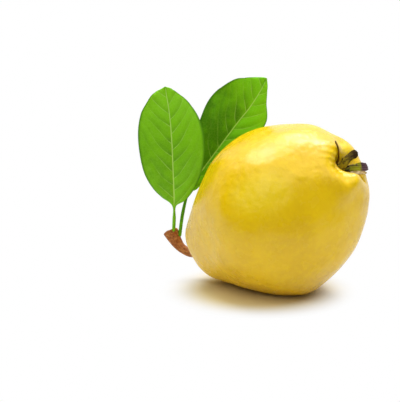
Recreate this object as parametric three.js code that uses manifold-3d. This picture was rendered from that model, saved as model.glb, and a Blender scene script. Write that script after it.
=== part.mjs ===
// A ripe quince lying on its belly, as picked: the fruit, its short woody stalk with two leaves, and at
// the flower end a shallow lobed basin with five dried sepals and a tuft of dried stamens.
//
// Frame: millimetres, +Z up, floor at Z = 0. The origin is the centre of the small flat spot under the
// belly. The fruit's core climbs to the right (+X) and its flower end swings towards the front (-Y).
import * as THREE from "three";
import { mergeVertices } from "three/addons/utils/BufferGeometryUtils.js";
import Module from "manifold-3d";

const wasm = await Module();
wasm.setup();

const degrees = THREE.MathUtils.degToRad;
const { clamp, lerp } = THREE.MathUtils;

// ---------------------------------------------------------------- driving dimensions

const BELLY_HEIGHT = 41.7; // the middle of the core above the floor
const CORE_RISE = degrees(33); // how steeply the core climbs towards the flower end
const CORE_TURN = degrees(24.5); // how far the flower end swings to the front
const TOUCH_GAP = 0.3; // clearance between neighbouring pieces

// The fruit's body: from the belly the neck narrows as a quarter of a cosine wave, and the crown closes as
// a quarter of an oval.
const BELLY_RADIUS = 43.5;
const BELLY_PLACE = -2; // on the core, from its middle
const NECK_RADIUS = 17.5;
const NECK_LENGTH = 43; // from the belly to the stalk's end
const NECK_EARLY = 0.84; // below 1, the neck narrows sooner
const CROWN_LENGTH = 50; // from the belly to where the oval would close
const CROWN_SHARE = 0.66; // of the quarter oval, up to the rim of the basin
const BODY_STEPS = 5; // points on each side of the belly

// The stalk's pit and the basin at the flower end: [radius, place on the core].
const PIT = [
  [0, -44.5],
  [4, -45],
  [8, -46.8],
  [12.5, -47.8],
];
const BASIN = [
  [17.5, 45.3],
  [11.8, 48.0],
  [7.8, 47.2],
  [5.7, 44.6],
  [4.4, 42.4],
  [2.4, 41.5],
  [0, 41.3],
];

// The section across the core is a little oval and three-sided: [lobes, share of the radius, angle].
const SECTION_WAVES = [
  [2, 0.05, degrees(125)],
  [3, 0.04, degrees(60)],
];
const RIBS = 5;
const RIB_ANGLE = degrees(96);
const STALK_RIB_ANGLE = degrees(116);
const RIB_AT_FLOWER_END = 0.014; // share of the radius
const RIB_AT_STALK_END = 0.02;
const RIB_CREST_RISE = 0.4; // how far each rib stands up round the basin

// The basin sits a little off the core.
const BASIN_OFFSET = 1.7;
const BASIN_ANGLE = degrees(25);
const BASIN_REACH = 11; // radius over which the skin leans towards it

// Single swells (+) and hollows (-) of the skin: [angle round the core, radius, place, spread, height].
const SWELLS = [
  [degrees(70), 8.5, 47.5, 7.5, -2.7],
  [degrees(118), 8, 48, 5, 1.6],
  [degrees(152), 8.5, 48, 5, 1.3],
  [degrees(275), 15, 46.5, 9, 0.9],
  [degrees(345), 27, 36, 12, 1.2],
  [degrees(214), 24, 41.5, 11, 1.7],
  [degrees(246), 16, 46.5, 7, -0.9],
];

const FRUIT_RINGS = 42;
const FRUIT_SIDES = 54;

// The woody stalk, from the pit to its broken end: [x, y, z, radius].
const STALK_STATIONS = [
  [-32.8, 15.0, 18.8, 2.5],
  [-37.4, 17.0, 15.5, 2.5],
  [-43.0, 20.2, 13.6, 2.2],
  [-48.4, 23.4, 15.8, 2.5],
  [-51.8, 25.6, 20.2, 3.4],
  [-53.2, 26.6, 23.0, 3.9],
  [-53.7, 27.0, 24.0, 3.1],
  [-53.8, 27.1, 24.3, 0],
];
const STALK_KNOBBLE = 0.09; // share of the radius
const STALK_RINGS = 22;
const STALK_SIDES = 14;

// Each leaf from its root on the stalk, along stem and midrib, to the tip: [x, y, z, left, right], where
// left and right are the blade's half-widths seen from its upper side. The upper side faces "facing".
const LEAVES = {
  leaf_left: {
    facing: [-0.1, -1, 0.15],
    stations: [
      [-52.1, 25.0, 22.6, 0.9, 0.9],
      [-51.6, 21.0, 31.6, 0.9, 0.9],
      [-51.5, 18.4, 39.2, 1.0, 1.0],
      [-51.5, 16.8, 43.6, 6.0, 6.2],
      [-51.6, 14.9, 50.0, 10.6, 10.9],
      [-51.9, 13.2, 59.6, 14.8, 15.0],
      [-52.3, 12.5, 71.6, 16.8, 17.0],
      [-53.0, 13.9, 82.2, 16.0, 15.8],
      [-54.0, 16.2, 90.7, 12.7, 11.6],
      [-55.0, 18.2, 96.4, 8.2, 6.8],
      [-55.5, 19.4, 99.5, 4.7, 3.4],
      [-55.8, 20.2, 101.3, 0, 0],
    ],
    fold: 0.16,
    wave: 0.9,
  },
  leaf_right: {
    facing: [0.22, -1, 0.1],
    stations: [
      [-48.9, 24.4, 21.1, 0.9, 0.9],
      [-47.2, 27.5, 33.2, 0.9, 0.9],
      [-44.6, 30.6, 43.4, 1.0, 1.0],
      [-42.0, 32.0, 47.5, 4.4, 3.4],
      [-38.2, 33.0, 53.5, 8.6, 5.0],
      [-32.1, 34.6, 61.7, 13.4, 6.8],
      [-25.3, 34.8, 71.1, 17.0, 9.2],
      [-18.4, 35.4, 80.3, 19.8, 12.0],
      [-12.6, 36.4, 87.4, 19.6, 12.0],
      [-8.4, 37.5, 93.5, 16.8, 7.0],
      [-5.7, 38.5, 97.8, 12.4, 3.4],
      [-3.7, 39.4, 101.7, 0, 0],
    ],
    fold: 0.12,
    wave: 1.3,
  },
};
const BLADE_THICKNESS = 0.7;
const STEM_THICKNESS = 1.8;
const MARGIN_WAVES = 2.5;
const LEAF_RINGS = 38;
const LEAF_SIDES = 16;

// The dried sepals stand round the basin: [towards the top, towards the front, place on the core,
// half-width], from the wall of the basin to the tip.
const SEPALS = {
  sepal_top: [
    [5.2, 2.8, 42.2, 1.2],
    [5.8, 3.4, 44.0, 1.4],
    [7.5, 4.6, 46.0, 1.5],
    [10.8, 6.0, 48.2, 1.2],
    [13.6, 6.7, 49.0, 0.8],
    [14.6, 6.7, 49.1, 0],
  ],
  sepal_front: [
    [1.7, 5.7, 42.2, 2.2],
    [2.0, 5.7, 44.2, 2.6],
    [3.2, 5.5, 46.4, 2.6],
    [4.3, 4.9, 49.0, 2.5],
    [4.7, 3.9, 51.9, 2.3],
    [4.4, 3.1, 54.1, 1.7],
    [4.3, 2.8, 54.9, 0],
  ],
  sepal_low: [
    [-2.2, 3.0, 42.4, 1.5],
    [-2.5, 3.3, 44.2, 1.6],
    [-2.9, 3.6, 45.8, 1.2],
    [-3.1, 3.8, 46.7, 0],
  ],
  sepal_under: [
    [-2.5, -0.7, 42.6, 1.1],
    [-3.0, -1.1, 44.8, 1.4],
    [-4.4, -2.0, 47.4, 1.7],
    [-5.6, -2.8, 49.6, 1.4],
    [-6.3, -3.1, 50.8, 0.8],
    [-6.5, -3.2, 51.3, 0],
  ],
  sepal_back: [
    [0.1, -2.6, 42.2, 1.3],
    [-0.6, -3.8, 44.8, 1.7],
    [-2.1, -5.4, 47.8, 2.1],
    [-3.2, -7.2, 49.5, 2.2],
    [-3.8, -9.2, 50.1, 2.0],
    [-4.1, -10.4, 50.1, 1.4],
    [-4.3, -11.2, 50.0, 0],
  ],
};
const SEPAL_THICKNESS = 0.7;
const SEPAL_CUP = 0.1; // how far a sepal's edges curl inwards, per square millimetre of half-width
const SEPAL_RINGS = 14;
const SEPAL_SIDES = 10;

const STAMENS = 10;
const STAMEN_RING = 2.0; // radius of the ring of stamens
const STAMEN_LENGTH = 4.6;
const STAMEN_RADIUS = 0.24;
const STAMEN_LEAN = 0.27; // outwards, per millimetre of length
// A stamen's thickness, thread and anther: [share of its length, share of STAMEN_RADIUS].
const STAMEN_OUTLINE = [
  [0, 1],
  [0.35, 1],
  [0.7, 1],
  [0.9, 1.9],
  [1, 0],
];
const STAMEN_RINGS = 7;
const STAMEN_SIDES = 5;
const STAMEN_CUSHION = [3.1, 1.6]; // radius and height of the dried cushion at their foot
const CUSHION_PLACE = 41.3; // on the core

// ---------------------------------------------------------------- shared geometry

const core = new THREE.Vector3(
  Math.cos(CORE_RISE) * Math.cos(CORE_TURN),
  -Math.cos(CORE_RISE) * Math.sin(CORE_TURN),
  Math.sin(CORE_RISE),
);
const topSide = new THREE.Vector3(0, 0, 1).projectOnPlane(core).normalize();
const frontSide = new THREE.Vector3().crossVectors(core, topSide);
const fruitFrame = new THREE.Matrix4()
  .makeBasis(topSide, frontSide, core)
  .setPosition(0, 0, BELLY_HEIGHT);

// A closed skin through rings of points, each ring turning about the way from the first to the last.
// The first and the last ring are single points.
function closedSkin(rings, sides, pointAt) {
  const positions = [];
  const faces = [];
  const addPoint = (p) => positions.push(p.x, p.y, p.z);
  addPoint(pointAt(0, 0));
  for (let i = 1; i < rings; i++)
    for (let j = 0; j < sides; j++) addPoint(pointAt(i / rings, j / sides));
  addPoint(pointAt(1, 0));
  const index = (ring, side) => 1 + (ring - 1) * sides + (side % sides);
  const last = 1 + (rings - 1) * sides;
  for (let j = 0; j < sides; j++) {
    faces.push(0, index(1, j + 1), index(1, j));
    for (let i = 1; i < rings - 1; i++) {
      faces.push(index(i, j), index(i, j + 1), index(i + 1, j));
      faces.push(index(i, j + 1), index(i + 1, j + 1), index(i + 1, j));
    }
    faces.push(last, index(rings - 1, j), index(rings - 1, j + 1));
  }
  const geometry = new THREE.BufferGeometry();
  geometry.setAttribute("position", new THREE.Float32BufferAttribute(positions, 3));
  geometry.setIndex(faces);
  return geometry;
}

// A skin carried along stations. Each station is a place, then one or two sizes. offsetAt turns the
// sizes and an angle into a step across the way and a step out, towards the side that faces "facing".
function sweptSkin(stations, facing, rings, sides, offsetAt) {
  const path = new THREE.CatmullRomCurve3(
    stations.map(([x, y, z]) => new THREE.Vector3(x, y, z)),
    false,
    "catmullrom",
  );
  const sizes = new THREE.SplineCurve(
    stations.map(([, , , first, second = first]) => new THREE.Vector2(first, second)),
  );
  return closedSkin(rings, sides, (along, round) => {
    const centre = path.getPoint(along);
    if (along === 0 || along === 1) return centre;
    const tangent = path.getTangent(along);
    const out = facing.clone().projectOnPlane(tangent).normalize();
    const across = new THREE.Vector3().crossVectors(out, tangent);
    const [stepAcross, stepOut] = offsetAt(along, round * 2 * Math.PI, sizes.getPoint(along));
    return centre.addScaledVector(across, stepAcross).addScaledVector(out, stepOut);
  });
}

function toManifold(geometry) {
  const plain = geometry.clone();
  plain.deleteAttribute("normal");
  plain.deleteAttribute("uv");
  const merged = mergeVertices(plain);
  return new wasm.Manifold(
    new wasm.Mesh({
      numProp: 3,
      vertProperties: merged.attributes.position.array,
      triVerts: new Uint32Array(merged.index.array),
    }),
  );
}

function fromManifold(solid) {
  const { vertProperties, triVerts } = solid.getMesh();
  const geometry = new THREE.BufferGeometry();
  geometry.setAttribute("position", new THREE.BufferAttribute(vertProperties, 3));
  geometry.setIndex(new THREE.BufferAttribute(triVerts, 1));
  geometry.computeVertexNormals();
  return geometry;
}

// ---------------------------------------------------------------- the fruit

// The outline's points from the pit to the floor of the basin: [radius, place on the core].
function fruitOutline() {
  const points = [...PIT];
  for (let step = BODY_STEPS; step > 0; step -= 1) {
    const toNeck = step / BODY_STEPS;
    const radius = lerp(NECK_RADIUS, BELLY_RADIUS, Math.cos((toNeck ** NECK_EARLY * Math.PI) / 2));
    points.push([radius, BELLY_PLACE - NECK_LENGTH * toNeck]);
  }
  for (let step = 0; step <= BODY_STEPS; step += 1) {
    const turn = ((step / BODY_STEPS) * CROWN_SHARE * Math.PI) / 2;
    points.push([BELLY_RADIUS * Math.cos(turn), BELLY_PLACE + CROWN_LENGTH * Math.sin(turn)]);
  }
  return [...points, ...BASIN];
}

const outline = new THREE.SplineCurve(fruitOutline().map(([r, z]) => new THREE.Vector2(r, z)));
const nearestTurn = (angle) => Math.atan2(Math.sin(angle), Math.cos(angle));

// A point of the skin in the fruit's frame, "spare" millimetres outside it: along runs from the stalk's
// pit to the basin and round is a turn about the core.
function skinPoint(along, round, spare) {
  const angle = round * 2 * Math.PI;
  const { x: radius, y: place } = outline.getPoint(along);
  const slope = outline.getTangent(clamp(along, 0.001, 0.999));
  const toFlower = clamp((place + 10) / 60, 0, 1) ** 1.5;
  const toStalk = clamp((-place - 10) / 40, 0, 1);
  const rib = Math.cos(RIBS * (angle - RIB_ANGLE));
  const stalkRib = Math.cos(RIBS * (angle - STALK_RIB_ANGLE));
  let share = 1 + RIB_AT_FLOWER_END * toFlower * rib + RIB_AT_STALK_END * toStalk * stalkRib;
  for (const [lobes, size, turn] of SECTION_WAVES) share += size * Math.cos(lobes * (angle - turn));
  let swell = spare;
  for (const [at, atRadius, atPlace, spread, height] of SWELLS) {
    const away = Math.hypot(radius - atRadius, place - atPlace, radius * nearestTurn(angle - at));
    swell += height * Math.exp(-((away / spread) ** 2));
  }
  const crest = place > 20 ? Math.exp(-(((radius - 14) / 9) ** 2)) : 0;
  const r = radius === 0 ? 0 : radius * share + swell * slope.y;
  const z = place + crest * RIB_CREST_RISE * rib - swell * slope.x;
  const lean = place > 20 ? BASIN_OFFSET * Math.exp(-((radius / BASIN_REACH) ** 2)) : 0;
  return new THREE.Vector3(
    r * Math.cos(angle) + lean * Math.cos(BASIN_ANGLE),
    r * Math.sin(angle) + lean * Math.sin(BASIN_ANGLE),
    z,
  );
}

function fruitSkin(spare = 0) {
  const pointAt = (along, round) => skinPoint(along, round, spare);
  return closedSkin(FRUIT_RINGS, FRUIT_SIDES, pointAt).applyMatrix4(fruitFrame);
}

// The belly is pressed flat where it lies on the floor.
function makeFruit() {
  const floor = new THREE.BoxGeometry(300, 300, 50).translate(0, 0, -25);
  return fromManifold(toManifold(fruitSkin()).subtract(toManifold(floor)));
}

const clearOfFruit = toManifold(fruitSkin(TOUCH_GAP));

// ---------------------------------------------------------------- the stalk

function stalkSkin(spare = 0) {
  const facing = new THREE.Vector3(0, -1, 0);
  return sweptSkin(STALK_STATIONS, facing, STALK_RINGS, STALK_SIDES, (along, angle, size) => {
    const knobble = 1 + STALK_KNOBBLE * along * Math.sin(3 * angle + 9 * along);
    const radius = size.x * knobble + spare;
    return [radius * Math.cos(angle), radius * Math.sin(angle)];
  });
}

function makeStalk() {
  return fromManifold(toManifold(stalkSkin()).subtract(clearOfFruit));
}

const clearOfStalk = toManifold(stalkSkin(TOUCH_GAP));

// ---------------------------------------------------------------- the leaves

// The blade is a thin lens across, folded up a little along the midrib, with gently waved margins. The
// stem below it is round.
function makeLeaf({ facing, stations, fold, wave }) {
  const skin = sweptSkin(
    stations,
    new THREE.Vector3(...facing),
    LEAF_RINGS,
    LEAF_SIDES,
    (along, angle, size) => {
      const halfWidth = Math.cos(angle) > 0 ? size.x : size.y;
      const across = halfWidth * Math.cos(angle);
      const broad = clamp((halfWidth - 1) / 4, 0, 1);
      const thickness = lerp(STEM_THICKNESS, BLADE_THICKNESS, broad);
      const lift = fold * (Math.hypot(across, 1) - 1) * broad;
      const ripple = wave * Math.sin(MARGIN_WAVES * 2 * Math.PI * along + Math.sign(across));
      const margin = broad * Math.cos(angle) ** 2;
      return [across, (thickness / 2) * Math.sin(angle) + lift + ripple * margin];
    },
  );
  return fromManifold(toManifold(skin).subtract(clearOfStalk));
}

// ---------------------------------------------------------------- the dried flower

// A sepal stands on the wall of the basin. Its upper side faces the core, or the flower end where the
// sepal is bent outwards.
function makeSepal(stations) {
  const [top, front] = stations[1];
  const facing = new THREE.Vector3(-top, -front, 0).normalize().add(new THREE.Vector3(0, 0, 0.8));
  const skin = sweptSkin(stations, facing, SEPAL_RINGS, SEPAL_SIDES, (along, angle, size) => {
    const across = size.x * Math.cos(angle);
    return [across, (SEPAL_THICKNESS / 2) * Math.sin(angle) + SEPAL_CUP * across * across];
  });
  return fromManifold(toManifold(skin.applyMatrix4(fruitFrame)).subtract(clearOfFruit));
}

function makeStamens() {
  const [cushionRadius, cushionHeight] = STAMEN_CUSHION;
  const cushion = new THREE.SphereGeometry(1, 16, 10)
    .scale(cushionRadius, cushionRadius, cushionHeight)
    .translate(0, 0, CUSHION_PLACE);
  let tuft = toManifold(cushion);
  for (let i = 0; i < STAMENS; i++) {
    const angle = (i / STAMENS) * 2 * Math.PI;
    const length = STAMEN_LENGTH * (1 + 0.18 * Math.sin(5 * i));
    const lean = STAMEN_LEAN * (1 + 0.6 * Math.cos(3 * i));
    const radial = new THREE.Vector3(Math.cos(angle), Math.sin(angle), 0);
    const stations = STAMEN_OUTLINE.map(([share, thickness]) => {
      const out = STAMEN_RING + lean * length * share * share;
      const rise = CUSHION_PLACE + length * share;
      return [radial.x * out, radial.y * out, rise, STAMEN_RADIUS * thickness];
    });
    const thread = sweptSkin(stations, radial, STAMEN_RINGS, STAMEN_SIDES, (along, turn, size) => [
      size.x * Math.cos(turn),
      size.x * Math.sin(turn),
    ]);
    tuft = tuft.add(toManifold(thread));
  }
  const centre = [BASIN_OFFSET * Math.cos(BASIN_ANGLE), BASIN_OFFSET * Math.sin(BASIN_ANGLE), 0];
  const placed = fromManifold(tuft).translate(...centre).applyMatrix4(fruitFrame);
  return fromManifold(toManifold(placed).subtract(clearOfFruit));
}

// ---------------------------------------------------------------- materials and the assembly

const finish = (color, roughness) => new THREE.MeshStandardMaterial({ color, roughness, metalness: 0 });
const materials = {
  skin: finish(0xe9c21e, 0.42),
  wood: finish(0x8a4a1e, 0.75),
  leafLight: finish(0x5fb32a, 0.5),
  leafDark: finish(0x3f8f22, 0.5),
  sepalBrown: finish(0x4a3420, 0.8),
  sepalOlive: finish(0x7a7228, 0.75),
  sepalPale: finish(0xa8967e, 0.8),
  stamens: finish(0x2e2018, 0.85),
};

const quince = new THREE.Group();

function addPiece(name, geometry, material) {
  const mesh = new THREE.Mesh(geometry, material);
  mesh.name = name;
  quince.add(mesh);
}

addPiece("fruit", makeFruit(), materials.skin);
addPiece("stalk", makeStalk(), materials.wood);
addPiece("leaf_left", makeLeaf(LEAVES.leaf_left), materials.leafLight);
addPiece("leaf_right", makeLeaf(LEAVES.leaf_right), materials.leafDark);
addPiece("sepal_top", makeSepal(SEPALS.sepal_top), materials.sepalBrown);
addPiece("sepal_front", makeSepal(SEPALS.sepal_front), materials.sepalOlive);
addPiece("sepal_low", makeSepal(SEPALS.sepal_low), materials.sepalBrown);
addPiece("sepal_under", makeSepal(SEPALS.sepal_under), materials.sepalPale);
addPiece("sepal_back", makeSepal(SEPALS.sepal_back), materials.sepalOlive);
addPiece("stamens", makeStamens(), materials.stamens);

export default quince;
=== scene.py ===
"""A ripe quince lying on its belly, with its stalk, two leaves and the dried flower.

Every piece is a closed skin worked out on a grid of rings and sides. Sizes in the tables are in
millimetres, and the meshes are in metres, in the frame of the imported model.
"""

import math

import bpy
import numpy as np
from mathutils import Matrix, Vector


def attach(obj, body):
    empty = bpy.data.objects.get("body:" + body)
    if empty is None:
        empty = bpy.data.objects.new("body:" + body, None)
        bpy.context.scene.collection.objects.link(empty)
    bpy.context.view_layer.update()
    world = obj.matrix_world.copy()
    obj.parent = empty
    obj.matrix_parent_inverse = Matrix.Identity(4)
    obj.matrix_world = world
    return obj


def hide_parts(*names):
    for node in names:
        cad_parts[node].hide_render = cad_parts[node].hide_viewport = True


bl_info = {
    "name": "Quince",
    "version": (1, 0, 0),
    "blender": (4, 5, 0),
    "location": "3D View > Sidebar > Quince",
    "description": "Builds a ripe quince with its stalk, leaves and dried flower",
    "category": "Add Mesh",
}

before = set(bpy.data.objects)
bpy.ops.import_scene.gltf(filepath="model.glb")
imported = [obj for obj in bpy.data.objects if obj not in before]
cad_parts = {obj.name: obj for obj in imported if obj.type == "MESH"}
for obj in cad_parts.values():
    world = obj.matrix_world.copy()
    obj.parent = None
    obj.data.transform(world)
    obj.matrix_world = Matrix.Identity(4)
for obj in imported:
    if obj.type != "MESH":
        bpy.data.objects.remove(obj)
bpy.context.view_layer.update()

MM = 0.001
TURN = 2 * math.pi

# ---------------------------------------------------------------- sizes shared by the pieces

CORE_RISE = math.radians(33)  # how steeply the core climbs towards the flower end
CORE_TURN = math.radians(24.5)  # how far the flower end swings to the front
BELLY_HEIGHT = 41.7  # the middle of the core above the floor

# The fruit's body: the neck narrows from the belly, and the crown closes towards the basin.
BELLY_RADIUS = 43.5
BELLY_PLACE = -2  # on the core, from its middle
NECK_RADIUS = 17.5
NECK_LENGTH = 43  # from the belly to the stalk's end
NECK_EARLY = 0.84  # below 1, the neck narrows sooner
CROWN_LENGTH = 50  # from the belly to where the oval would close
CROWN_SHARE = 0.66  # of the quarter oval, up to the rim of the basin
BODY_STEPS = 5  # points on each side of the belly
# The stalk's pit and the basin at the flower end: radius, place on the core.
PIT = [(0, -44.5), (4, -45), (8, -46.8), (12.5, -47.8)]
BASIN = [
    (17.5, 45.3), (11.8, 48.0), (7.8, 47.2), (5.7, 44.6), (4.4, 42.4), (2.4, 41.5), (0, 41.3),
]
# The section across the core: lobes, share of the radius, angle in degrees.
SECTION_WAVES = [(2, 0.05, 125), (3, 0.04, 60)]
RIBS = 5
RIB_ANGLE = math.radians(96)
STALK_RIB_ANGLE = math.radians(116)
RIB_AT_FLOWER_END = 0.014  # share of the radius
RIB_AT_STALK_END = 0.02
RIB_CREST_RISE = 0.4  # how far each rib stands up round the basin
BASIN_OFFSET = 1.7  # how far the basin sits off the core
BASIN_ANGLE = math.radians(25)
BASIN_REACH = 11  # radius over which the skin leans towards it
# Single swells (+) and hollows (-): angle in degrees, radius, place, spread, height.
SWELLS = [
    (70, 8.5, 47.5, 7.5, -2.7), (118, 8, 48, 5, 1.6), (152, 8.5, 48, 5, 1.3),
    (275, 15, 46.5, 9, 0.9), (345, 27, 36, 12, 1.2), (214, 24, 41.5, 11, 1.7),
    (246, 16, 46.5, 7, -0.9),
]
# Lobes of the near lip and a hollow in the far rim, in the same order.
LIP_LOBES = [
    (117, 19, 44.5, 6.5, 2.4), (84, 12, 47.5, 6, -2.2), (128, 12, 47.5, 4.2, 2.4),
    (106, 14.5, 46.5, 2.6, -0.9), (332, 13, 47.5, 5.5, -1.6),
]

PLEAT_RING = 12  # radius at which the pleats round the basin are highest
PLEAT_SPREAD = 6.5
PLEAT_MIDDLE = math.radians(52)  # where round the core they are strongest
PLEAT_WIDTH = math.radians(36)
CREASE_ANGLE = math.radians(197)
CREASE_WIDTH = 1.1

# Patches of painted light on the front of the belly and on the basin's shaded far wall, in the same order,
# with how pale they are in place of a height.
PAINTED_LIGHT_PATCHES = [
    (76, 38, 22, 10, 0.7), (72, 40, 9, 10, 0.7), (88, 40, 14, 14, 0.2), (330, 9, 47, 6, 0.8),
]

# The stalk from the pit to its broken end: x, y, z, radius.
STALK_STATIONS = [
    (-32.8, 15.0, 18.8, 2.5), (-37.4, 17.0, 15.5, 2.5), (-43.0, 20.2, 13.6, 2.2),
    (-48.4, 23.4, 15.8, 2.5), (-51.8, 25.6, 20.2, 3.4), (-53.2, 26.6, 23.0, 3.9),
    (-53.7, 27.0, 24.0, 3.1), (-53.8, 27.1, 24.3, 0),
]

# Each leaf from its root to the tip: x, y, z, half-width left and right of the midrib.
LEAVES = {
    "leaf_left": {
        "facing": (-0.1, -1, 0.15),
        "fold": 0.16,
        "wave": 0.9,
        "stations": [
            (-52.1, 25.0, 22.6, 0.9, 0.9), (-51.6, 21.0, 31.6, 0.9, 0.9),
            (-51.5, 18.4, 39.2, 1.0, 1.0), (-51.5, 16.8, 43.6, 6.0, 6.2),
            (-51.6, 14.9, 50.0, 10.6, 10.9), (-51.9, 13.2, 59.6, 14.8, 15.0),
            (-52.3, 12.5, 71.6, 16.8, 17.0), (-53.0, 13.9, 82.2, 16.6, 15.8),
            (-54.0, 16.2, 90.7, 14.0, 11.6), (-55.0, 18.2, 96.4, 9.3, 6.8),
            (-55.5, 19.4, 99.5, 5.3, 3.4), (-55.8, 20.2, 101.3, 0, 0),
        ],
    },
    "leaf_right": {
        "facing": (0.22, -1, 0.1),
        "fold": 0.12,
        "wave": 1.3,
        "stations": [
            (-48.9, 24.4, 21.1, 0.9, 0.9), (-47.2, 27.5, 33.2, 0.9, 0.9),
            (-44.6, 30.6, 43.4, 1.0, 1.0), (-42.0, 32.0, 47.5, 4.4, 3.4),
            (-38.2, 33.0, 53.5, 8.6, 5.0), (-32.1, 34.6, 61.7, 13.4, 6.8),
            (-25.3, 34.8, 71.1, 17.0, 9.2), (-18.4, 35.4, 80.3, 19.8, 12.0),
            (-12.6, 36.4, 87.4, 19.2, 12.0), (-8.4, 37.5, 93.5, 16.6, 6.5),
            (-5.5, 38.5, 98.3, 11.2, 3.0), (-3.2, 39.4, 103.3, 0, 0),
        ],
    },
}
MARGIN_WAVES = 2.5
VEIN_STAGGER = 0.45  # how far the side veins of the right half are offset, in vein spacings

# Each sepal from the wall of the basin to its tip: towards the top, towards the front, place on
# the core, half-width.
SEPALS = {
    "sepal_top": [
        (5.2, 2.8, 42.2, 1.2), (5.8, 3.4, 44.0, 1.4), (7.5, 4.6, 46.0, 1.5),
        (10.8, 6.0, 48.2, 1.2), (13.6, 6.7, 49.0, 0.8), (14.6, 6.7, 49.1, 0),
    ],
    "sepal_front": [
        (1.7, 5.7, 42.2, 2.2), (2.0, 5.7, 44.2, 2.6), (3.2, 5.5, 46.4, 2.6),
        (4.3, 4.9, 49.0, 2.5), (4.7, 3.9, 51.9, 2.3), (4.4, 3.1, 54.1, 1.7),
        (4.3, 2.8, 54.9, 0),
    ],
    "sepal_low": [
        (-2.2, 3.0, 42.4, 1.5), (-2.5, 3.3, 44.2, 1.6), (-2.9, 3.6, 45.8, 1.2),
        (-3.1, 3.8, 46.7, 0),
    ],
    "sepal_under": [
        (-2.5, -0.7, 42.6, 1.1), (-3.0, -1.1, 44.8, 1.4), (-4.4, -2.0, 47.4, 1.7),
        (-5.6, -2.8, 49.6, 1.4), (-6.3, -3.1, 50.8, 0.8), (-6.5, -3.2, 51.3, 0),
    ],
    "sepal_back": [
        (0.1, -2.6, 42.2, 1.3), (-0.6, -3.8, 44.8, 1.7), (-2.1, -5.4, 47.8, 2.1),
        (-3.2, -7.2, 49.5, 2.2), (-3.8, -9.2, 50.1, 2.0), (-4.1, -10.4, 50.1, 1.4),
        (-4.3, -11.2, 50.0, 0),
    ],
}
SEPAL_CUP = 0.1  # how far a sepal's edges curl inwards, per square millimetre of half-width

STAMEN_RING = 2.0
STAMEN_LENGTH = 4.6
STAMEN_RADIUS = 0.24
STAMEN_LEAN = 0.27
# A stamen's thickness, thread and anther: share of its length, share of its radius.
STAMEN_OUTLINE = [(0, 1), (0.35, 1), (0.7, 1), (0.9, 1.9), (1, 0)]
CUSHION_RADIUS = 3.1
CUSHION_HEIGHT = 1.6
CUSHION_PLACE = 41.3

CAMERA_RISE = math.radians(13)
CAMERA_LEFT = 38.1  # how far the camera stands to the left of the fruit's middle
CAMERA_UP = 4.35  # and how far above the line that looks down at it
# The floor round the fruit's foot, painted darker and yellower as shade and as the fruit's yellow bounce
# light: its middle, from where to where it goes over to the plain floor, and its colour.
FOOT_MIDDLE = (-0.008, 0, 0)
FOOT_FROM = 0.026
FOOT_TO = 0.052
FOOT_SHADE_COLOUR = (0.80, 0.71, 0.41)


def paint(code):
    """A colour written as six hex digits, as the linear values that materials take."""
    shares = np.array([int(code[i : i + 2], 16) for i in (0, 2, 4)]) / 255
    linear = np.where(shares <= 0.04045, shares / 12.92, ((shares + 0.055) / 1.055) ** 2.4)
    return tuple(float(v) for v in linear)


# ---------------------------------------------------------------- what a user may change


def colour(name, description, code):
    """A colour setting."""
    return bpy.props.FloatVectorProperty(
        name=name, description=description, default=paint(code), size=3, min=0, max=1, subtype="COLOR"
    )


def length(name, description, millimetres):
    """A length setting, kept in metres."""
    return bpy.props.FloatProperty(
        name=name, description=description, default=millimetres * MM, min=0, precision=5, unit="LENGTH"
    )


def number(name, description, value):
    """A plain number setting."""
    return bpy.props.FloatProperty(name=name, description=description, default=value, min=0)


class FruitSettings(bpy.types.PropertyGroup):
    """The skin's relief and colours."""

    undulation: length("Undulation", "Height of the skin's broad, uneven swells", 0.22)
    pleat_height: length("Pleat height", "Height of the fine pleats round the basin", 0.3)
    pleats: bpy.props.IntProperty(
        name="Pleats", description="How many pleats run into the basin", default=30, min=0
    )
    furrow_depth: length("Furrow depth", "Depth of the crease across the basin's lip", 0.8)
    skin: colour("Skin", "The ripe yellow of the skin", "f4c902")
    deep: colour("Deep yellow", "The warmer yellow of its patches", "e9bd00")
    # Also the colour of the pleats' painted highlight and of the patches of painted light.
    pale: colour("Pale yellow", "The paler yellow of pleats and patches", "ffdc08")
    # The olive also paints shade into the crease across the lip.
    olive: colour("Olive", "The greener yellow in the basin and the pit", "c4a416")


class StalkSettings(bpy.types.PropertyGroup):
    """The stalk's relief and colours."""

    knobble: number("Knobble", "Unevenness of the stalk, as a share of its radius", 0.09)
    bark_relief: length("Bark relief", "Height of the bark's ridges", 0.12)
    bark: colour("Bark", "The orange-brown bark", "9a5620")
    ridge: colour("Ridges", "The paler ridges of the bark", "c08040")
    broken: colour("Broken end", "The dark, rough broken end", "3c2412")


class LeafSettings(bpy.types.PropertyGroup):
    """The leaves' sizes and colours."""

    blade: length("Blade", "Thickness of the blade", 0.7)
    stem: length("Stem", "Thickness of the stem", 1.8)
    vein_spacing: length("Vein spacing", "Distance between side veins along the midrib", 7.6)
    vein_depth: length("Vein depth", "Height of the blade's puffs between its side veins", 0.24)
    light_green: colour("Light green", "The left leaf", "86d010")
    # The left leaf's painted shade, on one half, towards the stem and next to the side veins.
    light_shade: colour("Light green, shaded", "The left leaf's darker patches", "5a9c0a")
    dark_green: colour("Dark green", "The right leaf", "80d60e")
    # The right leaf's painted shade, on one half, towards the stem and next to the side veins.
    dark_shade: colour("Dark green, shaded", "The right leaf's darker half", "4c8c0a")
    vein: colour("Veins", "Midrib and side veins", "c4ee74")
    underside: colour("Underside", "The paler green of the leaves' undersides", "96be64")
    margin: colour("Margins", "The leaves' dark edges", "3e7a0c")


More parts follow.
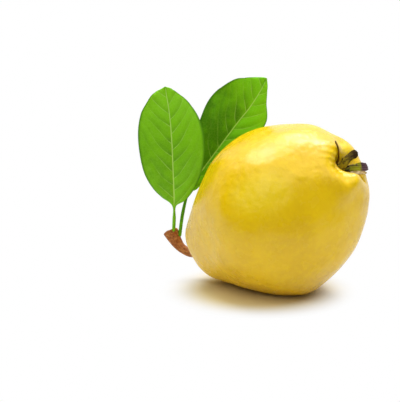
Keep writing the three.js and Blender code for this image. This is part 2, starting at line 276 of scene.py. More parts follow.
class FlowerSettings(bpy.types.PropertyGroup):
    """The dried flower's sizes and colours."""

    sepal_thickness: length("Sepal thickness", "Thickness of a sepal", 0.7)
    stamens: bpy.props.IntProperty(
        name="Stamens", description="How many stamens stand in the tuft", default=10, min=1
    )
    brown: colour("Brown", "The driest sepals", "86660c")
    olive: colour("Olive", "The half-dry sepals", "968414")
    green: colour("Green", "The freshest sepal", "a2a41c")
    pale: colour("Pale", "The bleached sepal", "c4ae86")
    tip: colour("Tip", "The darkened tips", "3a2808")
    purple: colour("Purple", "The purple tip", "583f44")
    tuft: colour("Tuft", "The dried stamens", "3a2c14")


class StageSettings(bpy.types.PropertyGroup):
    """Floor, light and camera."""

    floor: colour("Floor", "The pale floor, as it lights the fruit", "e6e6e6")
    lens: length("Lens", "Focal length of the camera", 120)
    distance: length("Distance", "From the camera to the middle of the fruit", 678)
    left_window: number("Left window", "How bright the soft light above on the left is", 0.31)
    right_window: number("Right window", "How bright the soft light above on the right is", 0.60)
    glow: number("Glow", "Share of the light of the windows that comes from around them", 0.36)
    front: number("Front light", "How bright the soft light up in front is", 0.22)
    overhead: number("Overhead light", "How bright the wide light overhead is", 0.48)
    fill: number("Fill light", "How bright the very wide light from the front is", 0.25)
    surroundings: number("Surroundings", "Level of the light from all sides", 0.04)


# ---------------------------------------------------------------- shapes


def unit(vectors):
    """Vectors divided by their own length."""
    return vectors / np.linalg.norm(vectors, axis=-1, keepdims=True)


def smooth_line(points, at, straight_ends=False):
    """A smooth line through points, evenly timed. Between two points it is a cubic whose slope at
    each is half the step from the point before to the point after. An end point counts twice, or
    with straight_ends the line is carried straight on past it."""
    points = np.asarray(points, float)
    before = 2 * points[0] - points[1] if straight_ends else points[0]
    after = 2 * points[-1] - points[-2] if straight_ends else points[-1]
    padded = np.vstack([before, points, after])
    spans = len(points) - 1
    place = np.clip(at, 0, 1) * spans
    first = np.minimum(place.astype(int), spans - 1)
    step = (place - first)[..., None]
    p0, p1, p2, p3 = (padded[first + k] for k in range(4))
    slope1 = (p2 - p0) / 2
    slope2 = (p3 - p1) / 2
    cubic = 2 * p1 - 2 * p2 + slope1 + slope2
    square = 3 * p2 - 3 * p1 - 2 * slope1 - slope2
    return (cubic * step + square) * step**2 + slope1 * step + p1


def line_direction(points, at, straight_ends=False):
    """The unit direction of the smooth line, from two places close to either side."""
    near = 1e-4
    ahead = smooth_line(points, np.minimum(at + near, 1), straight_ends)
    behind = smooth_line(points, np.maximum(at - near, 0), straight_ends)
    return unit(ahead - behind)


def hump(distance, spread):
    """A bell: one at no distance, and falling off over the spread."""
    return np.exp(-((distance / spread) ** 2))


def ease(value, low, high):
    """Zero below low, one above high, and a smooth rise between."""
    share = np.clip((value - low) / (high - low), 0, 1)
    return share * share * (3 - 2 * share)


def nearest_turn(angle):
    """The same angle between minus and plus half a turn."""
    return np.arctan2(np.sin(angle), np.cos(angle))


def fruit_outline():
    """The fruit's outline from the pit to the floor of the basin: radius, place on the core. From
    the belly the neck narrows as a quarter of a cosine wave, and the crown as a quarter oval."""
    to_neck = np.arange(BODY_STEPS, 0, -1) / BODY_STEPS
    narrowing = NECK_RADIUS + (BELLY_RADIUS - NECK_RADIUS) * np.cos(to_neck**NECK_EARLY * math.pi / 2)
    neck = np.stack([narrowing, BELLY_PLACE - NECK_LENGTH * to_neck], 1)
    turn = np.linspace(0, CROWN_SHARE * math.pi / 2, BODY_STEPS + 1)
    crown = np.stack([BELLY_RADIUS * np.cos(turn), BELLY_PLACE + CROWN_LENGTH * np.sin(turn)], 1)
    return np.vstack([PIT, neck, crown, BASIN])


CORE = np.array(
    [
        math.cos(CORE_RISE) * math.cos(CORE_TURN),
        -math.cos(CORE_RISE) * math.sin(CORE_TURN),
        math.sin(CORE_RISE),
    ]
)
TOP_SIDE = unit(np.array([0, 0, 1]) - CORE * CORE[2])
FRONT_SIDE = np.cross(CORE, TOP_SIDE)


def from_core(points):
    """Points given by top side, front side and place on the core, moved into the object's frame."""
    return points @ np.array([TOP_SIDE, FRONT_SIDE, CORE]) + np.array([0, 0, BELLY_HEIGHT])


def grid(rings, sides):
    """Shares of the way and of the turn for each point of a skin, as a column and a row."""
    along = np.linspace(0, 1, rings + 1)[:, None]
    around = (np.arange(sides) / sides)[None, :]
    return along, around


def sweep(stations, facing, along, section):
    """Carries a section along a smooth line. Each station is a place, then its sizes. The section
    steps across the line and out of it, out being the side that looks along facing."""
    stations = np.asarray(stations, float)
    centre = smooth_line(stations[:, :3], along[:, 0], straight_ends=True)[:, None, :]
    tangent = line_direction(stations[:, :3], along[:, 0], straight_ends=True)[:, None, :]
    facing = np.asarray(facing, float)
    out = unit(facing - tangent * (tangent @ facing)[..., None])
    across = np.cross(out, tangent)
    sizes = smooth_line(stations[:, 3:], along[:, 0])[:, None, :]
    step_across, step_out = section(sizes)
    return centre + across * step_across[..., None] + out * step_out[..., None]


def skin_mesh(name, skins):
    """A mesh of closed skins. Each skin is its points on a grid of rings by sides, with the first
    and the last ring drawn together in one point, and its named values on the same grid."""
    vertices, faces, values = [], [], {}
    for points, named in skins:
        rings, sides = points.shape[0] - 1, points.shape[1]
        start = sum(len(v) for v in vertices)
        vertices.append(np.vstack([points[0, :1], points[1:-1].reshape(-1, 3), points[-1, :1]]))
        for key, value in named.items():
            value = np.broadcast_to(value, points.shape[:2])
            flat = np.concatenate([value[0, :1], value[1:-1].ravel(), value[-1, :1]])
            values.setdefault(key, []).append(flat)
        side = np.arange(sides)
        after = (side + 1) % sides
        ring = start + 1 + np.arange(rings - 2)[:, None] * sides
        bands = np.stack([ring + side, ring + after, ring + sides + after, ring + sides + side], -1)
        end = start + 1 + (rings - 1) * sides
        first_fan = np.stack([np.full(sides, start), start + 1 + after, start + 1 + side], -1)
        last_fan = np.stack([np.full(sides, end), end - sides + side, end - sides + after], -1)
        faces += bands.reshape(-1, 4).tolist() + first_fan.tolist() + last_fan.tolist()
    mesh = bpy.data.meshes.new(name)
    mesh.from_pydata((np.vstack(vertices) * MM).tolist(), [], faces)
    for key, parts in values.items():
        attribute = mesh.attributes.new(key, "FLOAT", "POINT")
        attribute.data.foreach_set("value", np.concatenate(parts).astype(np.float32))
    mesh.shade_smooth()
    return mesh


def add_piece(node, skins, finish):
    """Puts a piece in the scene in place of the CAD node, riding on the one body."""
    name = node + "_skin"
    piece = bpy.data.objects.new(name, skin_mesh(name, skins))
    bpy.context.scene.collection.objects.link(piece)
    piece.data.materials.append(finish)
    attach(piece, "root")
    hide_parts(node)


# ---------------------------------------------------------------- the fruit


def fruit_skin(settings):
    """The fruit's skin. A point is a radius and a place on the core, read from the outline by its
    share of the way, and turned about the core. The radius is multiplied by the section's waves
    and ribs, and the point is moved along the outline's normal by swells, undulation, pleats and
    the furrow. What would lie below the floor is pressed flat on it. The pleats, which carry a
    painted highlight, the furrow, which carries painted shade, the patches of painted light, the
    basin and the pit are kept as values for the colours."""
    along, around = grid(rings=280, sides=320)
    angle = around * TURN
    points = fruit_outline()
    outline = smooth_line(points, along)
    radius, place = outline[..., 0], outline[..., 1]
    slope = line_direction(points, np.clip(along, 0.001, 0.999))

    # The ribs fade out towards the belly.
    to_flower = np.clip((place + 10) / 60, 0, 1) ** 1.5
    to_stalk = np.clip((-place - 10) / 40, 0, 1)
    rib = np.cos(RIBS * (angle - RIB_ANGLE))
    stalk_rib = np.cos(RIBS * (angle - STALK_RIB_ANGLE))
    share = 1 + RIB_AT_FLOWER_END * to_flower * rib + RIB_AT_STALK_END * to_stalk * stalk_rib
    for lobes, size, turn in SECTION_WAVES:
        share = share + size * np.cos(lobes * (angle - math.radians(turn)))

    def swell(at, at_radius, at_place, spread):
        aside = radius * nearest_turn(angle - math.radians(at))
        return hump(np.sqrt((radius - at_radius) ** 2 + (place - at_place) ** 2 + aside**2), spread)

    height = sum(size * swell(*where) for *where, size in SWELLS + LIP_LOBES)

    # Broad undulation over the belly, from four waves that run round and along the core.
    belly = hump(radius - 40, 22) * ease(radius, 8, 18)
    broad = (
        np.cos(4 * angle + 0.11 * place + 1.0)
        + 0.8 * np.cos(7 * angle - 0.16 * place + 2.2)
        + 0.6 * np.cos(3 * angle + 0.23 * place + 4.1)
        + 0.4 * np.cos(11 * angle + 0.31 * place)
    )
    height = height + settings.undulation / MM * belly * broad

    # Fine pleats at uneven distances, strong on one side of the basin and faint elsewhere.
    flower_end = ease(place, 30, 42)
    wander = 1.6 * np.sin(3 * angle + 0.7) + 0.8 * np.sin(7 * angle)
    pleat = np.cos(settings.pleats * angle + wander + 0.05 * place)
    reach = hump(radius - PLEAT_RING, PLEAT_SPREAD) * flower_end
    uneven = 0.06 + 0.94 * hump(nearest_turn(angle - PLEAT_MIDDLE), PLEAT_WIDTH)
    pleats = reach * uneven * (0.5 + 0.5 * pleat) ** 1.5
    height = height + settings.pleat_height / MM * pleats

    # One narrow crease across the lip, bent a little as it runs outwards.
    crease_side = radius * nearest_turn(angle - CREASE_ANGLE - 0.02 * (radius - 8))
    crease = hump(crease_side, CREASE_WIDTH) * flower_end
    crease = crease * ease(radius, 4.6, 6.2) * (1 - ease(radius, 11, 13))
    height = height - settings.furrow_depth / MM * crease

    # The ribs' crests round the basin, and the basin's lean to one side.
    crest = np.where(place > 20, hump(radius - 14, 9), 0)
    reached = radius * share + height * slope[..., 1]
    reached[radius[:, 0] == 0] = 0
    lifted = place + crest * RIB_CREST_RISE * rib - height * slope[..., 0]
    lean = np.where(place > 20, BASIN_OFFSET * hump(radius, BASIN_REACH), 0)
    points = np.stack(
        [
            reached * np.cos(angle) + lean * math.cos(BASIN_ANGLE),
            reached * np.sin(angle) + lean * math.sin(BASIN_ANGLE),
            lifted,
        ],
        -1,
    )
    points = from_core(points)
    points[..., 2] = np.maximum(points[..., 2], 0)

    # Patches of painted light, kept as a value for the colours.
    pale = sum(size * swell(*where) for *where, size in PAINTED_LIGHT_PATCHES)
    basin = flower_end * (1 - ease(radius, 3.5, 7.5))
    pit = ease(-place, 38, 46) * (1 - ease(radius, 6, 16))
    return points, {"pleat": pleats, "pale": pale, "basin": basin, "pit": pit, "crease": crease}


# ---------------------------------------------------------------- stalk and leaves


def stalk_skin(settings):
    """The stalk. Its section is a circle whose radius swings three times round and twists along
    the way, with fine ridges that run lengthwise and roughen towards the broken end."""
    along, around = grid(rings=90, sides=72)
    angle = around * TURN

    def section(sizes):
        knobble = 1 + settings.knobble * along * np.sin(3 * angle + 9 * along)
        broken_up = 0.5 + 0.5 * np.cos(23 * along + 2 * angle)
        ridges = np.cos(13 * angle + 3 * np.sin(7 * along)) * broken_up
        rough = ease(along, 0.8, 0.97) * np.cos(9 * angle + 40 * along)
        bark = settings.bark_relief / MM * (ridges + 1.2 * rough)
        radius = sizes[..., 0] * knobble + bark * ease(sizes[..., 0], 0, 2)
        return radius * np.cos(angle), radius * np.sin(angle)

    points = sweep(STALK_STATIONS, (0, -1, 0), along, section)
    return points, {"along": along}


def leaf_skin(leaf, settings):
    """A leaf. Its section is a thin lens as wide as the blade, folded up a little along the midrib
    and waved at the margins, and round along the stem. The blade is sunk along the midrib and
    puffed up between the side veins, which leave the midrib at a slant and bend towards the tip.
    Near the tip the widths fall off with a square root, so that the tip is round."""
    along, around = grid(rings=250, sides=160)
    turn = around * TURN
    angle = turn + 0.25 * np.sin(2 * turn)
    stations = np.asarray(leaf["stations"], float)
    midrib = smooth_line(stations[:, :3], along[:, 0], straight_ends=True)
    steps = np.linalg.norm(np.diff(midrib, axis=0), axis=1)
    travelled = np.concatenate([[0], np.cumsum(steps)])[:, None]
    to_tip = np.clip((1 - along) * (len(stations) - 1), 1e-6, 1)
    named = {}

    def section(sizes):
        left = np.cos(angle) > 0
        half_width = np.where(left, sizes[..., 0], sizes[..., 1]) / np.sqrt(to_tip)
        across = half_width * np.cos(angle)
        aside = np.abs(across)
        broad = np.clip((half_width - 1) / 4, 0, 1)
        stem, blade = settings.stem / MM, settings.blade / MM
        thickness = stem + (blade - stem) * broad
        lift = leaf["fold"] * (np.hypot(across, 1) - 1) * broad
        ripple = leaf["wave"] * np.sin(MARGIN_WAVES * TURN * along + np.sign(across))

        # Side veins: one for each whole number of the rank, slanting and bending towards the tip.
        slant = travelled - 0.75 * aside - 0.045 * aside**2 + 0.5 * np.sin(0.37 * travelled + 1)
        rank = slant * MM / settings.vein_spacing
        to_margin = aside / np.maximum(half_width, 0.1)
        between = 0.5 - 0.5 * np.cos((rank + np.where(left, 0, VEIN_STAGGER)) * TURN)
        puff = between * ease(to_margin, 0, 0.2) * (1 - ease(to_margin, 0.7, 1))
        relief = settings.vein_depth / MM * (puff - 0.6 * hump(aside, 1.2)) * broad
        out = thickness / 2 * np.sin(angle) + lift + ripple * broad * np.cos(angle) ** 2 + relief

        named["rank"] = rank
        named["across"] = across
        named["broad"] = broad
        named["margin"] = ease(to_margin, 0.9, 1) * broad
        named["along"] = along
        named["under"] = np.where(np.sin(angle) > 0, 0, 1) * broad
        return across, out

    points = sweep(stations, leaf["facing"], along, section)
    return points, named


# ---------------------------------------------------------------- the dried flower


def sepal_skin(stations, thickness):
    """A sepal. Its section is a thin lens with its edges curled up by the square of their distance
    from the middle. It is wrinkled lengthwise and crumples towards the tip."""
    along, around = grid(rings=70, sides=64)
    angle = around * TURN
    top, front = stations[1][:2]
    facing = np.append(-unit(np.array([top, front])), 0.8)

    def section(sizes):
        ragged = 1 + 0.05 * np.sin(17 * along + np.sign(np.cos(angle)))
        across = sizes[..., 0] * np.cos(angle) * ragged
        wrinkle = 0.09 * np.sin(5.5 * across + 3 * along)
        wrinkle = wrinkle + 0.07 * along * np.sin(21 * along + 2 * across)
        return across, thickness / 2 * np.sin(angle) + SEPAL_CUP * across**2 + wrinkle

    points = from_core(sweep(stations, facing, along, section))
    return points, {"along": along}


def stamen_skins(count):
    """The tuft: a flattened ball for the cushion, and threads that stand in a ring on it, lean
    outwards by the square of their height and end in a thicker anther."""
    along, around = grid(rings=24, sides=40)
    polar = (along - 0.5) * math.pi
    angle = around * TURN
    lumpy = 1 + 0.05 * np.cos(9 * angle) * np.cos(polar)
    cushion = np.stack(
        [
            CUSHION_RADIUS * lumpy * np.cos(polar) * np.cos(angle),
            CUSHION_RADIUS * lumpy * np.cos(polar) * np.sin(angle),
            CUSHION_PLACE + CUSHION_HEIGHT * np.sin(polar) * np.ones_like(angle),
        ],
        -1,
    )
    skins = [(cushion, {"along": 0.0})]
    along, around = grid(rings=30, sides=14)
    angle = around * TURN
    for i in range(count):
        turn = i / count * TURN
        tall = STAMEN_LENGTH * (1 + 0.18 * math.sin(5 * i))
        lean = STAMEN_LEAN * (1 + 0.6 * math.cos(3 * i))
        radial = np.array([math.cos(turn), math.sin(turn), 0])
        stations = []
        for share, thick in STAMEN_OUTLINE:
            x, y, _ = radial * (STAMEN_RING + lean * tall * share**2)
            stations.append((x, y, CUSHION_PLACE + tall * share, STAMEN_RADIUS * thick))

        def section(sizes):
            return sizes[..., 0] * np.cos(angle), sizes[..., 0] * np.sin(angle)

        skins.append((sweep(stations, radial, along, section), {"along": along}))
    centre = BASIN_OFFSET * np.array([math.cos(BASIN_ANGLE), math.sin(BASIN_ANGLE), 0])
    return [(from_core(points + centre), named) for points, named in skins]


# ---------------------------------------------------------------- finishes


def node_maker(tree):
    """A function that adds a node to this tree. It takes the node's kind, what feeds its inputs in
    their order, from a node or as a constant, and the node's own settings by name."""

    def node(kind, *inputs, **settings):
        made = tree.nodes.new(kind)
        for key, value in settings.items():
            setattr(made, key, value)
        for socket, value in zip([s for s in made.inputs if s.enabled], inputs):
            if isinstance(value, bpy.types.NodeSocket):
                tree.links.new(value, socket)
            else:
                socket.default_value = value
        return made

    return node


class Finish:
    """A material under construction: a Principled shader and the nodes that feed it."""

    def __init__(self, name, roughness, specular):
        self.material = bpy.data.materials.new(name)
        self.material.use_nodes = True
        self.tree = self.material.node_tree
        self.node = node_maker(self.tree)
        self.shader = self.tree.nodes["Principled BSDF"]
        self.shader.inputs["Roughness"].default_value = roughness
        self.shader.inputs["Specular IOR Level"].default_value = specular
        self.here = self.node("ShaderNodeTexCoord").outputs["Object"]

    def feed(self, socket, value):
        """Links a value that comes from a node, or sets a constant one."""
        if isinstance(value, bpy.types.NodeSocket):
            self.tree.links.new(value, socket)
        elif socket.type == "RGBA":
            socket.default_value = (*value, 1)
        else:
            socket.default_value = value

    def noise(self, size, detail=3, roughness=0.5, stretch=(1, 1, 1)):
        """Uneven values from 0 to 1, with patches of about this size in millimetres."""
        mapped = self.node("ShaderNodeMapping")
        self.feed(mapped.inputs["Vector"], self.here)
        mapped.inputs["Scale"].default_value = stretch
        made = self.node("ShaderNodeTexNoise")
        self.feed(made.inputs["Vector"], mapped.outputs["Vector"])
        made.inputs["Scale"].default_value = 1 / (size * MM)
        made.inputs["Detail"].default_value = detail
        made.inputs["Roughness"].default_value = roughness
        return made.outputs["Fac"]

    def net(self, size):
        """Distances from the edges of cells of about this size in millimetres."""
        made = self.node("ShaderNodeTexVoronoi", feature="DISTANCE_TO_EDGE")
        self.feed(made.inputs["Vector"], self.here)
        made.inputs["Scale"].default_value = 1 / (size * MM)
        return made.outputs["Distance"]

    def value(self, name):
        """A value kept on the piece's own points."""
        return self.node("ShaderNodeAttribute", attribute_name=name).outputs["Fac"]

    def fit(self, value, low, high, first=0.0, second=1.0):
        """Turns values from low to high smoothly into values from first to second."""
        made = self.node("ShaderNodeMapRange", interpolation_type="SMOOTHSTEP")
        keys = ("Value", "From Min", "From Max", "To Min", "To Max")
        for key, item in zip(keys, (value, low, high, first, second)):
            self.feed(made.inputs[key], item)
        return made.outputs["Result"]

    def math(self, operation, first, second):
        """One piece of arithmetic on two values."""
        made = self.node("ShaderNodeMath", operation=operation)
        self.feed(made.inputs[0], first)
        self.feed(made.inputs[1], second)
        return made.outputs["Value"]

    def blend(self, share, first, second):
        """The first colour, going over to the second by this share."""
        made = self.node("ShaderNodeMix", data_type="RGBA")
        self.feed(made.inputs["Factor"], share)
        colours = [s for s in made.inputs if s.type == "RGBA"]
        self.feed(colours[0], first)
        self.feed(colours[1], second)
        return [s for s in made.outputs if s.type == "RGBA"][0]

    def relief(self, height, distance):
        """Bumps of this height in millimetres."""
        made = self.node("ShaderNodeBump")
        self.feed(made.inputs["Height"], height)
        made.inputs["Distance"].default_value = distance * MM
        return made.outputs["Normal"]

    def finish(self, colour, normal, roughness=None):
        """Feeds the shader and returns the material."""
        self.feed(self.shader.inputs["Base Color"], colour)
        self.feed(self.shader.inputs["Normal"], normal)
        if roughness is not None:
            self.feed(self.shader.inputs["Roughness"], roughness)
        return self.material


def quince_skin(settings):
    """Waxy yellow skin: warm patches over clear yellow with a fine, pale mottle, patches of painted
    light, pleats with a painted highlight on their crests, an olive basin and pit, a crease painted
    olive as shade, and shallow dents under a faint grain."""
    skin = Finish("quince_skin", roughness=0.25, specular=0.42)
    patches = skin.fit(skin.noise(26, detail=2), 0.38, 0.66)
    colour = skin.blend(patches, settings.skin, settings.deep)
    mottle = skin.noise(2.6, detail=5, roughness=0.7)
    colour = skin.blend(skin.fit(mottle, 0.42, 0.7, 0, 0.4), colour, settings.pale)
    # Painted light: paler patches on the front of the belly and on the basin's shaded far wall.
    colour = skin.blend(skin.fit(skin.value("pale"), 0, 1), colour, settings.pale)
    # Painted highlight: the pleats' crests are paler, as where they catch the light.
    colour = skin.blend(skin.fit(skin.value("pleat"), 0.1, 0.9, 0, 0.8), colour, settings.pale)
    colour = skin.blend(skin.fit(skin.value("basin"), 0.3, 1, 0, 0.6), colour, settings.olive)
    colour = skin.blend(skin.fit(skin.value("pit"), 0.1, 1, 0, 0.8), colour, settings.olive)
    # Painted shade: the crease across the lip is darkened to olive.
    colour = skin.blend(skin.fit(skin.value("crease"), 0.3, 1, 0, 0.8), colour, settings.olive)
    dents = skin.math("MULTIPLY", skin.noise(9, detail=2), 3)
    grain = skin.math("ADD", dents, skin.math("MULTIPLY", mottle, 0.8))
    roughness = skin.fit(skin.noise(7, detail=3), 0.3, 0.7, 0.22, 0.3)
    return skin.finish(colour, skin.relief(grain, 0.3), roughness)


def bark(settings):
    """Orange-brown bark with paler ridges, darkening into the rough broken end."""
    wood = Finish("stalk_bark", roughness=0.72, specular=0.3)
    grain = wood.noise(1.4, detail=6, roughness=0.65, stretch=(0.6, 1, 1))
    colour = wood.blend(wood.fit(grain, 0.4, 0.65), settings.bark, settings.ridge)
    specks = wood.fit(wood.noise(0.7, detail=2), 0.58, 0.7, 0, 0.7)
    colour = wood.blend(specks, colour, settings.broken)
    colour = wood.blend(wood.fit(wood.value("along"), 0.78, 0.95), colour, settings.broken)
    return wood.finish(colour, wood.relief(grain, 0.3))


def leaf_green(name, settings, green, shade, shaded_side):
    """Fresh leaf: patchy green, with painted shade on one half, towards the stem and next to each side
    vein, a pale midrib, fine side veins that fade before the dark margin, a faint net between them
    and a paler underside."""
    leaf = Finish(name, roughness=0.45, specular=0.12)
    across, along = leaf.value("across"), leaf.value("along")
    aside = leaf.math("ABSOLUTE", across, 0)
    right = leaf.math("LESS_THAN", across, 0)
    rank = leaf.math("ADD", leaf.value("rank"), leaf.math("MULTIPLY", right, VEIN_STAGGER))
    off_vein = leaf.math("PINGPONG", rank, 0.5)
    side_vein = leaf.fit(off_vein, 0.012, 0.05, 1, 0)
    reach = leaf.fit(leaf.math("ADD", aside, leaf.noise(5)), 3, 14, 0.45, 0.05)
    reach = leaf.math("MULTIPLY", reach, leaf.fit(leaf.noise(6), 0.35, 0.6, 0.35, 1))
    side_vein = leaf.math("MULTIPLY", side_vein, reach)
    mid_vein = leaf.fit(leaf.math("ADD", aside, leaf.math("MULTIPLY", along, 0.25)), 0.24, 0.55, 0.85, 0)
    vein = leaf.math("MULTIPLY", leaf.math("MAXIMUM", side_vein, mid_vein), leaf.value("broad"))

    patches = leaf.fit(leaf.noise(7, detail=4), 0.35, 0.65, 0.75, 1.15)
    # Painted shade: darker on one half and towards the stem, where the leaf turns from the light.
    side = leaf.fit(across, -2, 2, 0.35, shaded_side)
    side = leaf.math("MULTIPLY", side, leaf.fit(along, 0.45, 0.95, 1, 0.1))
    # Painted shade next to each side vein, where the puffs of the blade turn from the light.
    vein_shade = leaf.fit(leaf.math("FRACT", rank, 0), 0, 0.6, 0.28, 0)
    vein_shade = leaf.math("MULTIPLY", vein_shade, leaf.fit(aside, 0, 12, 1, 0.2))
    dark = leaf.math("MULTIPLY", leaf.math("ADD", side, vein_shade), patches)
    colour = leaf.blend(leaf.fit(dark, 0, 1), green, shade)
    net = leaf.fit(leaf.net(1.4), 0.02, 0.1, 0.08, 0)
    colour = leaf.blend(net, colour, settings.vein)
    colour = leaf.blend(vein, colour, settings.vein)
    colour = leaf.blend(leaf.math("MULTIPLY", leaf.value("margin"), 0.8), colour, settings.margin)
    colour = leaf.blend(leaf.math("MULTIPLY", leaf.value("under"), 0.6), colour, settings.underside)
    grain = leaf.math("SUBTRACT", leaf.noise(0.9, detail=4), leaf.math("MULTIPLY", vein, 1.2))
    return leaf.finish(colour, leaf.relief(grain, 0.12))


def dried_sepal(name, body, tip, tip_from, fade=0.12):
    """Dried sepal: blotched, with fine grain, going over into its darker tip."""
    sepal = Finish(name, roughness=0.7, specular=0.15)
    blotches = sepal.fit(sepal.noise(2.0, detail=4, roughness=0.65), 0.42, 0.62, 0, 0.85)
    colour = sepal.blend(blotches, body, tip)
    uneven = sepal.math("MULTIPLY", sepal.noise(1.6, detail=3), 0.08 + fade)
    edge = sepal.math("ADD", sepal.value("along"), uneven)
    colour = sepal.blend(sepal.fit(edge, tip_from, tip_from + fade), colour, tip)
    return sepal.finish(colour, sepal.relief(sepal.noise(0.5, detail=4), 0.12))


def floor_white(settings):
    """Plain floor. Matt light meets a pale grey, and near the fruit's foot a darker yellow, painted shade
    and painted yellow bounce light from the fruit.
    What looks at it directly, by reflection or through glass sees that matt floor near the fruit,
    where it holds the shadow, going over to the white of the surroundings away from it."""
    material = bpy.data.materials.new("floor_white")
    material.use_nodes = True
    material.node_tree.nodes.clear()
    node = node_maker(material.node_tree)
    ray = node("ShaderNodeLightPath").outputs
    mirrored = node("ShaderNodeMath", ray["Is Glossy Ray"], ray["Is Transmission Ray"], operation="MAXIMUM")
    seen = node("ShaderNodeMath", ray["Is Camera Ray"], mirrored.outputs[0], operation="MAXIMUM")
    place = node("ShaderNodeTexCoord").outputs["Object"]
    apart = node("ShaderNodeVectorMath", place, FOOT_MIDDLE, operation="DISTANCE").outputs["Value"]
    away = node("ShaderNodeMapRange", apart, FOOT_FROM, FOOT_TO, interpolation_type="SMOOTHSTEP")
    white = node("ShaderNodeMath", seen.outputs[0], away.outputs[0], operation="MULTIPLY")
    # Painted shade and painted yellow bounce light round the fruit's foot.
    near = node("ShaderNodeBsdfDiffuse", (*FOOT_SHADE_COLOUR, 1))
    far = node("ShaderNodeBsdfDiffuse", (*settings.floor, 1))
    glow = node("ShaderNodeEmission", (1, 1, 1, 1), 1.0)
    matt = node("ShaderNodeMixShader", away.outputs[0], near.outputs[0], far.outputs[0])
    whole = node("ShaderNodeMixShader", white.outputs[0], matt.outputs[0], glow.outputs[0])
    node("ShaderNodeOutputMaterial", whole.outputs[0])
    return material


# ---------------------------------------------------------------- operators


class QUINCE_OT_fruit(bpy.types.Operator):
    """Builds the fruit with its basin, pit, ribs and pleats"""

    bl_idname = "quince.fruit"
    bl_label = "Fruit"

    def execute(self, context):
        settings = context.scene.quince_fruit
        add_piece("fruit", [fruit_skin(settings)], quince_skin(settings))
        return {"FINISHED"}


class QUINCE_OT_stalk(bpy.types.Operator):
    """Builds the woody stalk with its broken end"""

    bl_idname = "quince.stalk"
    bl_label = "Stalk"

    def execute(self, context):
        settings = context.scene.quince_stalk
        add_piece("stalk", [stalk_skin(settings)], bark(settings))
        return {"FINISHED"}


class QUINCE_OT_leaves(bpy.types.Operator):
    """Builds the two leaves with their stems and veins"""

    bl_idname = "quince.leaves"
    bl_label = "Leaves"

    def execute(self, context):
        settings = context.scene.quince_leaves
        light = leaf_green("leaf_light", settings, settings.light_green, settings.light_shade, 0.5)
        dark = leaf_green("leaf_dark", settings, settings.dark_green, settings.dark_shade, 1.0)
        add_piece("leaf_left", [leaf_skin(LEAVES["leaf_left"], settings)], light)
        add_piece("leaf_right", [leaf_skin(LEAVES["leaf_right"], settings)], dark)
        return {"FINISHED"}


class QUINCE_OT_flower(bpy.types.Operator):
    """Builds the dried sepals and the tuft of stamens"""

    bl_idname = "quince.flower"
    bl_label = "Dried flower"

    def execute(self, context):
        settings = context.scene.quince_flower
        # Colour of the body and of the tip, where the tip begins, how far it takes, and the slot.
        looks = {
            "sepal_top": (settings.brown, settings.tip, 0.95, 0.12, "sepal_brown"),
            "sepal_front": (settings.olive, settings.tip, 0.6, 0.35, "sepal_olive"),
            "sepal_low": (settings.brown, settings.tip, 0.8, 0.12, "sepal_brown"),
            "sepal_under": (settings.pale, settings.brown, 1.1, 0.12, "sepal_pale"),
            "sepal_back": (settings.green, settings.purple, 0.46, 0.08, "sepal_olive"),
        }
        thickness = settings.sepal_thickness / MM
        for name, (body, tip, tip_from, fade, slot) in looks.items():
            finish = dried_sepal(name + "_dry", body, tip, tip_from, fade)
            add_piece(name, [sepal_skin(SEPALS[name], thickness)], finish)
        tuft = dried_sepal("stamens_dry", settings.tuft, settings.tip, 0.75)
        add_piece("stamens", stamen_skins(settings.stamens), tuft)
        return {"FINISHED"}


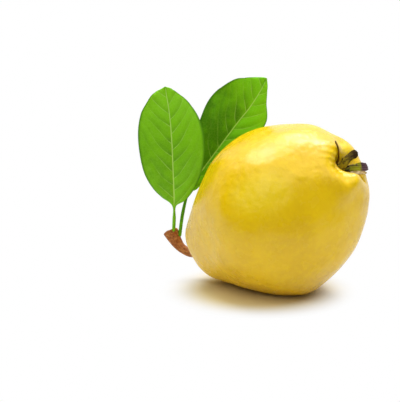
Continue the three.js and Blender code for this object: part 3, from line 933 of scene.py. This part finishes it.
class QUINCE_OT_stage(bpy.types.Operator):
    """Lays the floor, and sets lights, surroundings and camera"""

    bl_idname = "quince.stage"
    bl_label = "Stage"

    def execute(self, context):
        scene = context.scene
        settings = scene.quince_stage
        middle = np.array([0, 0, BELLY_HEIGHT]) * MM

        # The floor's half-width and back edge, its front edge, and how little it lies below zero.
        half, front, drop = 4.0, -0.13, -0.00005
        corners = [(-half, front, drop), (half, front, drop), (half, half, drop), (-half, half, drop)]
        mesh = bpy.data.meshes.new("floor")
        mesh.from_pydata(corners, [], [(0, 1, 2, 3)])
        floor = bpy.data.objects.new("floor", mesh)
        scene.collection.objects.link(floor)
        mesh.materials.append(floor_white(settings))

        # Each window is a small bright light within a wide glow, both given in degrees across.
        for side, towards, window, glow, level in (
            ("left", (-0.33, 0.30, 0.90), 15.5, 32, settings.left_window),
            ("right", (0.18, 0.50, 0.85), 18, 40, settings.right_window),
        ):
            self.add_light(scene, side + "_window", towards, window, level * (1 - settings.glow))
            self.add_light(scene, side + "_glow", towards, glow, level * settings.glow)
        self.add_light(scene, "front", (-0.40, -0.66, 0.63), 40, settings.front)
        self.add_light(scene, "overhead", (0.02, -0.12, 0.99), 72, settings.overhead)
        fill = self.add_light(scene, "fill", (0.60, -0.75, 0.30), 120, settings.fill)
        fill.visible_glossy = False
        self.set_surroundings(scene, settings)

        back = np.array([0, -math.cos(CAMERA_RISE), math.sin(CAMERA_RISE)])
        right = np.array([1, 0, 0])
        up = np.cross(back, right)
        camera = bpy.data.objects.new("camera", bpy.data.cameras.new("camera"))
        camera.data.sensor_width = 36
        camera.data.lens = settings.lens / MM
        camera.data.clip_start = 0.05
        camera.location = middle + back * settings.distance - right * CAMERA_LEFT * MM + up * CAMERA_UP * MM
        camera.rotation_euler = (math.pi / 2 - CAMERA_RISE, 0, 0)
        scene.collection.objects.link(camera)
        scene.camera = camera
        scene.view_settings.view_transform = "Standard"
        return {"FINISHED"}

    def add_light(self, scene, name, towards, spread, level):
        """A wide soft light, far away in this direction and this many degrees across."""
        light = bpy.data.lights.new(name, "SUN")
        light.energy = level * math.pi
        light.angle = math.radians(spread)
        holder = bpy.data.objects.new(name, light)
        holder.rotation_euler = Vector(towards).to_track_quat("Z", "Y").to_euler()
        scene.collection.objects.link(holder)
        return holder

    def set_surroundings(self, scene, settings):
        """Even light for matt surfaces, and white to look at directly or through glass. Reflections
        see white behind the object and almost nothing in front of it."""
        world = bpy.data.worlds.new("surroundings")
        scene.world = world
        world.use_nodes = True
        world.node_tree.nodes.clear()
        node = node_maker(world.node_tree)
        ray = node("ShaderNodeLightPath").outputs
        seen = node("ShaderNodeMath", ray["Is Camera Ray"], ray["Is Transmission Ray"], operation="MAXIMUM")
        split = node("ShaderNodeSeparateXYZ", node("ShaderNodeTexCoord").outputs["Generated"])
        depth = split.outputs["Y"]
        behind = node("ShaderNodeMapRange", depth, -0.1, 0.5, 0.03, 1.0, interpolation_type="SMOOTHSTEP")
        level = node("ShaderNodeMix", ray["Is Glossy Ray"], settings.surroundings, behind.outputs[0])
        total = node("ShaderNodeMath", level.outputs[0], seen.outputs[0], operation="MAXIMUM")
        sky = node("ShaderNodeBackground", (1, 1, 1, 1), total.outputs[0])
        node("ShaderNodeOutputWorld", sky.outputs[0])


class QUINCE_PT_panel(bpy.types.Panel):
    """Lists the quince's settings and what builds it"""

    bl_idname = "QUINCE_PT_panel"
    bl_label = "Quince"
    bl_space_type = "VIEW_3D"
    bl_region_type = "UI"
    bl_category = "Quince"

    def draw(self, context):
        for group, operator in zip(GROUPS, OPERATORS):
            box = self.layout.box()
            box.operator(operator.bl_idname)
            settings = getattr(context.scene, group)
            for key in settings.bl_rna.properties.keys():
                if key not in ("rna_type", "name"):
                    box.prop(settings, key)


# The settings and what they build, in the same order.
GROUPS = {
    "quince_fruit": FruitSettings,
    "quince_stalk": StalkSettings,
    "quince_leaves": LeafSettings,
    "quince_flower": FlowerSettings,
    "quince_stage": StageSettings,
}
OPERATORS = (QUINCE_OT_fruit, QUINCE_OT_stalk, QUINCE_OT_leaves, QUINCE_OT_flower, QUINCE_OT_stage)


def register():
    """Registers the settings, the operators and the panel."""
    for name, group in GROUPS.items():
        bpy.utils.register_class(group)
        setattr(bpy.types.Scene, name, bpy.props.PointerProperty(type=group))
    for operator in OPERATORS:
        bpy.utils.register_class(operator)
    bpy.utils.register_class(QUINCE_PT_panel)


def unregister():
    """Takes them all away again."""
    bpy.utils.unregister_class(QUINCE_PT_panel)
    for operator in reversed(OPERATORS):
        bpy.utils.unregister_class(operator)
    for name, group in GROUPS.items():
        delattr(bpy.types.Scene, name)
        bpy.utils.unregister_class(group)


def main():
    """Builds the quince piece by piece."""
    register()
    bpy.ops.quince.fruit()
    bpy.ops.quince.stalk()
    bpy.ops.quince.leaves()
    bpy.ops.quince.flower()
    bpy.ops.quince.stage()


if __name__ == "__main__":
    main()
